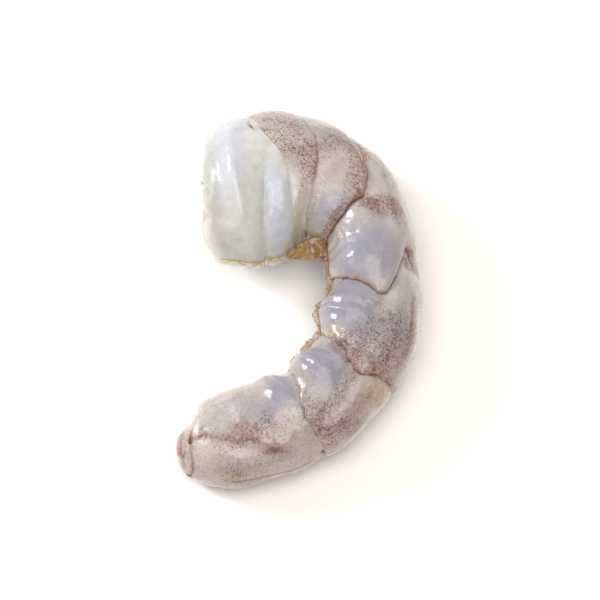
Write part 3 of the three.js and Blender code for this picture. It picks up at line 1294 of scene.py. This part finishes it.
@dataclass(frozen=True)
class Effects:
    """The node groups that the finishes share."""

    specks: bpy.types.NodeTree = field(default_factory=lambda: SpeckGroup().build())
    wet: bpy.types.NodeTree = field(default_factory=lambda: WetGroup().build())


@dataclass(frozen=True)
class WetSurface:
    """The start of a wet finish: specks and a fine unevenness, in a new material."""

    material: bpy.types.Material
    bench: NodeBench
    shader: bpy.types.Node
    specks: Socket
    dapple: Socket

    @classmethod
    def start(cls, name: str, effects: Effects, relief: float) -> WetSurface:
        """Starts a material.

        Args:
            name: The material's name.
            effects: The shared node groups.
            relief: How far the unevenness stands out, in millimetres.

        Returns:
            The surface, whose other values are still to be set.
        """
        material, bench, shader = new_material(name)
        density = {"Density": bench.mark(Mark.SPECKS)}
        specks = bench.add("ShaderNodeGroup", density, node_tree=effects.specks).outputs["Specks"]
        wet = bench.add("ShaderNodeGroup", {}, node_tree=effects.wet).outputs
        bump = bench.add("ShaderNodeBump", {"Distance": relief * MM, "Height": wet["Height"]})
        bench.feed(shader, {"Normal": bump.outputs[0]})
        return cls(material, bench, shader, specks, wet["Dapple"])


@dataclass(frozen=True)
class Tint:
    """The colour that a mark lays on, and how much of it at the most."""

    mark: Mark
    colour: Colour
    strength: float
    grainy: bool = False


@dataclass(frozen=True)
class FleshFinish:
    """Raw shrimp flesh: pale, glassy and wet, with pigment specks in its skin."""

    name: str = "raw flesh"
    flesh: Colour = (0.50, 0.44, 0.415)
    milk: Colour = (0.555, 0.57, 0.575)
    lilac: Colour = (0.265, 0.265, 0.33)
    pale_lilac: Colour = (0.48, 0.505, 0.60)
    lilac_strength: float = 0.95
    tints: tuple[Tint, ...] = (
        Tint(Mark.CLEAR, (0.345, 0.35, 0.345), 0.8),
        Tint(Mark.AMBER, (0.52, 0.43, 0.23), 0.7),
        Tint(Mark.RUST, (0.32, 0.16, 0.08), 0.6, grainy=True),
        Tint(Mark.HAZE, (0.20, 0.098, 0.088), 0.6, grainy=True),
        # The rim mark's cream is a painted highlight, and along the back also the pale torn edge of the
        # skin.
        Tint(Mark.PALE_EDGE_AND_PAINTED_HIGHLIGHT, (0.90, 0.84, 0.72), 0.8),
    )
    speck: Colour = (0.11, 0.042, 0.034)
    speck_density: tuple[float, float] = (0.3, 1.0)
    speck_strength: tuple[float, float] = (0.36, 0.95)
    line: Colour = (0.15, 0.035, 0.018)
    shade: Colour = (0.62, 0.58, 0.50)
    shade_strength: float = 0.22
    mottle: float = 2.0
    mottle_reach: tuple[float, float] = (0.35, 0.65)
    grain: float = 0.5
    grain_reach: tuple[float, float] = (0.3, 0.7)
    grain_strength: tuple[float, float] = (0.35, 1.5)
    relief: float = 0.14
    scatter: float = 0.7
    scatter_depth: float = 1.8
    scatter_colour: Colour = (1.0, 0.75, 0.65)
    roughness: tuple[float, float] = (0.24, 0.42)
    refraction: float = 1.38
    coat: tuple[float, float] = (1.0, 0.15)
    coat_roughness: float = 0.11
    coat_refraction: float = 1.36

    def colour(self, bench: NodeBench, specks: Socket) -> Socket:
        """Mixes the skin's colour by its marks.

        Args:
            bench: The material's bench.
            specks: The specks' share.

        Returns:
            The colour.
        """
        where = bench.here()
        cloud = bench.remap(bench.noise(where, self.mottle, detail=5.0), self.mottle_reach, (0.0, 1.0))
        cloud = bench.math("MULTIPLY", cloud, self.shade_strength)
        grain = bench.remap(bench.noise(where, self.grain), self.grain_reach, self.grain_strength)
        milk = bench.mark(Mark.MILK)
        colour = bench.mix(cloud, bench.mix(milk, self.flesh, self.milk), self.shade, "MULTIPLY")
        share = bench.math("MULTIPLY", bench.mark(Mark.LILAC), self.lilac_strength)
        colour = bench.mix(share, colour, bench.mix(milk, self.lilac, self.pale_lilac))
        for tint in self.tints:
            share = bench.math("MULTIPLY", bench.mark(tint.mark), tint.strength)
            if tint.grainy:
                share = bench.math("MULTIPLY", share, grain, clamp=True)
            colour = bench.mix(share, colour, tint.colour)
        depth = bench.remap(bench.mark(Mark.SPECKS), self.speck_density, self.speck_strength)
        colour = bench.mix(bench.math("MULTIPLY", specks, depth), colour, self.speck)
        return bench.mix(bench.mark(Mark.LINE), colour, self.line)

    def build(self, effects: Effects) -> bpy.types.Material:
        """Makes the material.

        Args:
            effects: The shared node groups.

        Returns:
            The material.
        """
        surface = WetSurface.start(self.name, effects, self.relief)
        bench = surface.bench
        surface.shader.subsurface_method = "RANDOM_WALK"
        values = {
            "Base Color": self.colour(bench, surface.specks),
            "Roughness": bench.remap(surface.dapple, (0.0, 1.0), self.roughness),
            "IOR": self.refraction,
            "Subsurface Weight": self.scatter,
            "Subsurface Radius": self.scatter_colour,
            "Subsurface Scale": self.scatter_depth * MM,
            "Coat Weight": bench.remap(bench.mark(Mark.DULL), (0.0, 1.0), self.coat),
            "Coat Roughness": self.coat_roughness,
            "Coat IOR": self.coat_refraction,
        }
        bench.feed(surface.shader, values)
        return surface.material


@dataclass(frozen=True)
class FilmFinish:
    """A thin scrap of skin: cloudy, yellowish and wet, darker towards its torn edge, with painted shade
    along its root.
    """

    name: str
    film: Colour = (0.56, 0.49, 0.36)
    # The dark of the torn edge, which also colours the painted shade along the root.
    edge: Colour = (0.44, 0.33, 0.20)
    alpha: float = 0.55
    cloudiest: float = 0.95
    speck: Colour = (0.20, 0.07, 0.05)
    relief: float = 0.05
    roughness: float = 0.28
    scatter: float = 0.6
    scatter_depth: float = 1.0
    scatter_colour: Colour = (1.0, 0.7, 0.4)
    coat: float = 0.8
    coat_roughness: float = 0.06

    def build(self, effects: Effects) -> bpy.types.Material:
        """Makes the material.

        Args:
            effects: The shared node groups.

        Returns:
            The material.
        """
        surface = WetSurface.start(self.name, effects, self.relief)
        bench = surface.bench
        colour = bench.mix(bench.mark(Mark.LINE), self.film, self.edge)
        values = {
            "Base Color": bench.mix(surface.specks, colour, self.speck),
            "Alpha": bench.remap(surface.dapple, (0.0, 1.0), (self.alpha, self.cloudiest)),
            "Roughness": self.roughness,
            "Subsurface Weight": self.scatter,
            "Subsurface Radius": self.scatter_colour,
            "Subsurface Scale": self.scatter_depth * MM,
            "Coat Weight": self.coat,
            "Coat Roughness": self.coat_roughness,
        }
        bench.feed(surface.shader, values)
        return surface.material


# ---- The shrimp's pieces -------------------------------------------------------------------------------


@dataclass
class FleshBody:
    """The whole body, in one closed skin."""

    form: BodyForm
    cut_face: CutFace = CutFace()
    relief: FineRelief = FineRelief()
    marks: SkinMarks = SkinMarks()
    name: str = "shrimp_flesh"
    segment_rings: tuple[int, ...] = (78, 36, 46, 72, 66, 54, 80)
    ring_points: int = 220
    ring_closing: float = 0.62

    def ring_coordinates(self) -> Numbers:
        """Spaces the rings out from the front end to the tail, closer together at the seams.

        Returns:
            Their ring coordinates.
        """
        rings = []
        for segment, count in enumerate(self.segment_rings):
            turn = 2 * np.pi * np.arange(count) / count
            rings.append(segment + (turn - self.ring_closing * np.sin(turn)) / (2 * np.pi))
        return np.concatenate([*rings, [float(len(self.segment_rings))]])

    def skin(self) -> tuple[Spots, Numbers]:
        """Works out the skin.

        Returns:
            The spots and their points, ring by ring.
        """
        angles = np.arange(self.ring_points) * 360.0 / self.ring_points
        angles = np.where(angles > 180, angles - 360, angles)
        ring, angle = np.meshgrid(self.ring_coordinates(), angles, indexing="ij")
        spots = self.form.spots(ring, angle)
        self.relief.waver_seams(self.form, spots)
        solid = self.form.relief(spots)
        plain = self.form.points(spots, solid)
        lift = solid + self.relief.lift(spots, plain)
        inward = self.cut_face.folds(self.form, spots) + self.relief.overhang(spots)
        return spots, self.form.points(spots, lift, inward)

    def faces(self, rings: int) -> list[tuple[int, ...]]:
        """Joins the rings, of which the first and the last are single points.

        Args:
            rings: How many rings there are.

        Returns:
            The corners of each face.
        """
        count = self.ring_points
        last = 1 + (rings - 2) * count
        columns = [1 + column % count for column in range(count + 1)]
        rows = [[ring * count + column for column in columns] for ring in range(rings - 2)]
        faces: list[tuple[int, ...]] = []
        for column in range(count):
            faces.append((0, rows[0][column + 1], rows[0][column]))
            faces.append((last, rows[-1][column], rows[-1][column + 1]))
        for row, after in zip(rows, rows[1:]):
            for column in range(count):
                faces.append((row[column], row[column + 1], after[column + 1], after[column]))
        return faces

    @staticmethod
    def listed(values: Numbers) -> Numbers:
        """The values ring by ring in one list, with one value for each end."""
        middle = values[1:-1].reshape((-1, *values.shape[2:]))
        return np.concatenate([values[:1, 0], middle, values[-1:, 0]])

    def build(self, finish: bpy.types.Material) -> Placing:
        """Makes the body, which stands for the solid.

        Args:
            finish: The flesh's material.

        Returns:
            The placing that the other pieces need.
        """
        spots, points = self.skin()
        placing = Placing.onto(points, NODE)
        piece = make_mesh(self.name, placing.metres(self.listed(points)), self.faces(len(points)))
        shares = self.marks.shares(spots, points, self.form.taper(spots))
        keep_marks(piece, {mark: self.listed(share) for mark, share in shares.items()})
        hand_over(piece, finish)
        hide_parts(NODE)
        return placing


@dataclass(frozen=True, kw_only=True)
class Film:
    """A thin scrap of skin, made as a closed shell about a middle surface."""

    name: str
    thickness: float = 0.13
    thinning: float = 0.6
    rows: int = 9
    columns: int = 90
    torn_line: tuple[float, float] = (0.7, 0.15)
    # A painted shade along the film's root, where it comes out of the body's skin.
    root_painted_shade: tuple[float, float] = (0.6, 0.25)
    specks: float = 0.5

    def sheet(self, form: BodyForm, along: Numbers, out: Numbers) -> Numbers:
        """The middle surface's points on the body, by the shares of the way along the film and out."""
        raise NotImplementedError

    def build(self, form: BodyForm, placing: Placing, finish: bpy.types.Material) -> None:
        """Makes the film.

        Args:
            form: The body that it is fixed to.
            placing: Carries it into the frame.
            finish: Its material.
        """
        steps = np.linspace(0, 1, self.columns), np.linspace(0, 1, self.rows)
        along, out = np.meshgrid(*steps, indexing="ij")
        middle = self.sheet(form, along, out)
        normal = np.cross(np.gradient(middle, axis=0), np.gradient(middle, axis=1))
        normal /= np.linalg.norm(normal, axis=-1, keepdims=True)
        half = normal * self.thickness / 2 * (1 - self.thinning * out[..., None])
        points = np.concatenate([(middle + half).reshape(-1, 3), (middle - half).reshape(-1, 3)])
        piece = make_mesh(self.name, placing.metres(points), self.faces())
        both = np.concatenate([out.ravel(), out.ravel()])
        (torn, torn_width), (root, root_shade_width) = self.torn_line, self.root_painted_shade
        # The torn edge is darker, and the root gets a painted shade where the film meets the body.
        torn_edge_and_root_shade = torn * bell((both - 1.0) / torn_width) + root * bell(both / root_shade_width)
        keep_marks(piece, {Mark.LINE: torn_edge_and_root_shade, Mark.SPECKS: np.full_like(both, self.specks)})
        hand_over(piece, finish)

    def faces(self) -> list[tuple[int, ...]]:
        """Joins the two sides of the shell and closes it round its rim.

        Returns:
            The corners of each face.
        """
        rows, columns = self.rows, self.columns
        under = columns * rows
        faces: list[tuple[int, ...]] = []
        for i in range(columns - 1):
            for j in range(rows - 1):
                a, b = i * rows + j, (i + 1) * rows + j
                faces.append((a, b, b + 1, a + 1))
                faces.append((under + a, under + a + 1, under + b + 1, under + b))
        loop = [i * rows for i in range(columns)]
        loop += [(columns - 1) * rows + j for j in range(1, rows)]
        loop += [i * rows + rows - 1 for i in reversed(range(columns - 1))]
        loop += list(reversed(range(1, rows - 1)))
        faces += [(a, under + a, under + b, b) for a, b in zip(loop, loop[1:] + loop[:1])]
        return faces


@dataclass(frozen=True, kw_only=True)
class BellyFilm(Film):
    """A ruffled film that stands out along the belly, torn at its outer edge."""

    places: tuple[float, float]
    angles: tuple[float, float]
    reach: float
    ruffle: float
    wave: float
    seed: int
    root: float = 0.35
    reach_mean: float = 0.75
    tears: tuple[tuple[float, float], ...] = ((0.35, 1.6), (0.22, 0.5))
    end_taper: float = 5.0
    wave_waver: float = 2.2
    wave_grain: float = 2.2
    side_step: float = 3.0

    def sheet(self, form: BodyForm, along: Numbers, out: Numbers) -> Numbers:
        """Works out the film's middle surface.

        Args:
            form: The body that it is fixed to.
            along: How far along the film each point is, from 0 to 1.
            out: How far out each point is, from 0 to 1.

        Returns:
            Its points, with x, y, z on the last axis.
        """
        place = self.places[0] + along * (self.places[1] - self.places[0])
        angle = self.angles[0] + along * (self.angles[1] - self.angles[0])
        spots = form.spots_at(place, angle)
        lift = form.relief(spots)
        skin = form.points(spots, lift)
        outward = form.points(spots, lift + 1.0) - skin
        sideways = form.points(form.spots_at(place, angle - self.side_step), lift) - skin
        sideways /= np.linalg.norm(sideways, axis=-1, keepdims=True)
        where = vectors(place, self.seed)
        ragged = self.reach_mean
        for number, (depth, grain) in enumerate(self.tears):
            ragged = ragged + depth * LatticeNoise(self.seed + number, grain)(where)
        ends = np.sqrt(np.clip(np.minimum(along, 1 - along) * self.end_taper, 0, 1))
        waver = self.wave_waver * LatticeNoise(self.seed + len(self.tears), self.wave_grain)(where)
        sway = self.ruffle * ends * out * np.sin(2 * np.pi * place / self.wave + waver)
        far = (self.reach * ragged * ends + self.root) * out - self.root
        return skin + outward * far[..., None] + sideways * sway[..., None]


@dataclass(frozen=True, kw_only=True)
class NotchWeb(Film):
    """A scrap of film that spans the notch where the body bends most."""

    front: tuple[float, float] = (15.5, 9.6)
    rear: tuple[float, float] = (24.0, 32.0)
    angle: float = 177.0
    root: float = 0.3
    sag: float = 0.5
    ruffle: float = 0.7
    crumple: LatticeNoise = LatticeNoise(51, 1.0)
    crumple_at: float = 51.0
    crumple_turns: tuple[float, float] = (6, 1.5)
    edge_reach: tuple[float, float, float] = (0.82, 0.18, 0.14)

    def sheet(self, form: BodyForm, along: Numbers, out: Numbers) -> Numbers:
        """Works out the film's middle surface.

        Args:
            form: The body that it is fixed to.
            along: How far along the film each point is, from 0 to 1.
            out: How far out each point is, from 0 to 1.

        Returns:
            Its points, with x, y, z on the last axis.
        """
        turns_along, turns_out = self.crumple_turns
        crumple = self.crumple(vectors(along * turns_along, out * turns_out, self.crumple_at))
        bulge = np.sin(np.pi * along)
        least, bulging, crumpled = self.edge_reach
        reach = out * (least + bulging * bulge + crumpled * crumple * out)
        span = np.zeros((*along.shape, 3))
        for (root, tip), share in ((self.front, 1 - along), (self.rear, along)):
            spots = form.spots_at(root + reach * (tip - root), np.full_like(along, self.angle))
            span += form.points(spots, form.relief(spots) - self.root) * share[..., None]
        span[..., 2] += bulge * out * (self.ruffle * crumple - self.sag)
        return span


# ---- Studio --------------------------------------------------------------------------------------------


@dataclass(frozen=True)
class SoftBox:
    """A rectangular soft light, aimed at the shrimp."""

    name: str
    place: tuple[float, float, float]
    size: tuple[float, float]
    power: float
    colour: Colour = (1.0, 1.0, 1.0)

    def build(self, target: Vector) -> None:
        """Hangs the light and turns it to the target.

        Args:
            target: What it is aimed at.
        """
        light = bpy.data.lights.new(self.name, "AREA")
        light.shape = "RECTANGLE"
        light.size, light.size_y = self.size
        light.energy = self.power
        light.color = self.colour
        lamp = bpy.data.objects.new(self.name, light)
        lamp.location = self.place
        lamp.rotation_euler = (target - Vector(self.place)).to_track_quat("-Z", "Y").to_euler()
        bpy.context.scene.collection.objects.link(lamp)


@dataclass(frozen=True)
class Studio:
    """The pale floor, the soft light and the camera."""

    floor_size: float = 3.0
    floor_colour: Colour = (0.94, 0.94, 0.935)
    floor_shade: float = 0.985
    floor_clouds: float = 6.0
    floor_roughness: float = 0.6
    floor_gloss: float = 0.2
    air_colour: Colour = (1.0, 0.87, 0.71)
    air_strength: float = 0.42
    lens: float = 270.0
    clip_start: float = 0.01
    elevation: float = 65.0
    distance: float = 0.648
    target: tuple[float, float, float] = (0.0, 0.0, 0.006)
    lights: tuple[SoftBox, ...] = (
        SoftBox("key", (-0.34, 0.14, 0.22), (0.11, 0.18), 1.3, (0.94, 0.97, 1.0)),
        SoftBox("overhead", (0.00, -0.14, 0.55), (0.50, 0.50), 2.7, (1.0, 0.975, 0.94)),
        SoftBox("rim", (0.24, 0.34, 0.20), (0.40, 0.24), 0.5),
    )

    def lay_floor(self) -> None:
        """Lays the floor just under the shrimp."""
        half = self.floor_size / 2
        corners = np.array([(-half, -half, 0), (half, -half, 0), (half, half, 0), (-half, half, 0)])
        floor = make_mesh("floor", corners, [(0, 1, 2, 3)])
        paint, bench, shader = new_material("pale floor")
        cloud = bench.noise(bench.here(), 1 / (self.floor_clouds * MM))
        shade = tuple(self.floor_shade * channel for channel in self.floor_colour)
        values = {
            "Base Color": bench.mix(cloud, self.floor_colour, shade),
            "Roughness": self.floor_roughness,
            "Specular IOR Level": self.floor_gloss,
        }
        bench.feed(shader, values)
        floor.data.materials.append(paint)

    def light(self) -> None:
        """Lights the room evenly and hangs the soft boxes."""
        world = bpy.data.worlds.new("soft room")
        bpy.context.scene.world = world
        world.use_nodes = True
        air = {"Color": self.air_colour, "Strength": self.air_strength}
        NodeBench(world.node_tree).feed(world.node_tree.nodes["Background"], air)
        for box in self.lights:
            box.build(Vector(self.target))

    def aim_camera(self) -> None:
        """Looks down on the shrimp from the side that the photograph was taken from."""
        lens = bpy.data.cameras.new("camera")
        lens.lens = self.lens
        lens.clip_start = self.clip_start
        camera = bpy.data.objects.new("camera", lens)
        rise = math.radians(self.elevation)
        target = Vector(self.target)
        camera.location = target + self.distance * Vector((0.0, -math.cos(rise), math.sin(rise)))
        camera.rotation_euler = (target - camera.location).to_track_quat("-Z", "Y").to_euler()
        bpy.context.scene.collection.objects.link(camera)
        bpy.context.scene.camera = camera

    def build(self) -> None:
        """Sets up the whole studio."""
        self.lay_floor()
        self.light()
        self.aim_camera()
        view = bpy.context.scene.view_settings
        view.view_transform = "Standard"
        view.look = "None"


def main() -> None:
    """Builds the shrimp and its studio, piece by piece."""
    logging.basicConfig(level=logging.INFO, format="%(name)s: %(message)s")
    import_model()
    effects = Effects()
    form = BodyForm()
    placing = FleshBody(form).build(FleshFinish().build(effects))
    pale = FilmFinish("pale film")
    orange = FilmFinish("orange film", film=(0.36, 0.22, 0.085), edge=(0.13, 0.05, 0.02), alpha=0.75)
    brown = FilmFinish("brown film", film=(0.36, 0.27, 0.23), edge=(0.15, 0.07, 0.05), alpha=0.6)
    ruffle = BellyFilm(
        name="front_ruffle", places=(2.6, 12.8), angles=(177, 176), reach=0.9, ruffle=0.35, wave=3.4, seed=31
    )
    web = NotchWeb(name="notch_web")
    belly = BellyFilm(
        name="belly_film",
        places=(27.0, 58.0),
        angles=(174, 170),
        reach=0.9,
        ruffle=0.25,
        wave=4.2,
        seed=41,
        columns=200,
    )
    for film, finish in ((ruffle, pale), (web, orange), (belly, brown)):
        film.build(form, placing, finish.build(effects))
    Studio().build()


if __name__ == "__main__":
    main()
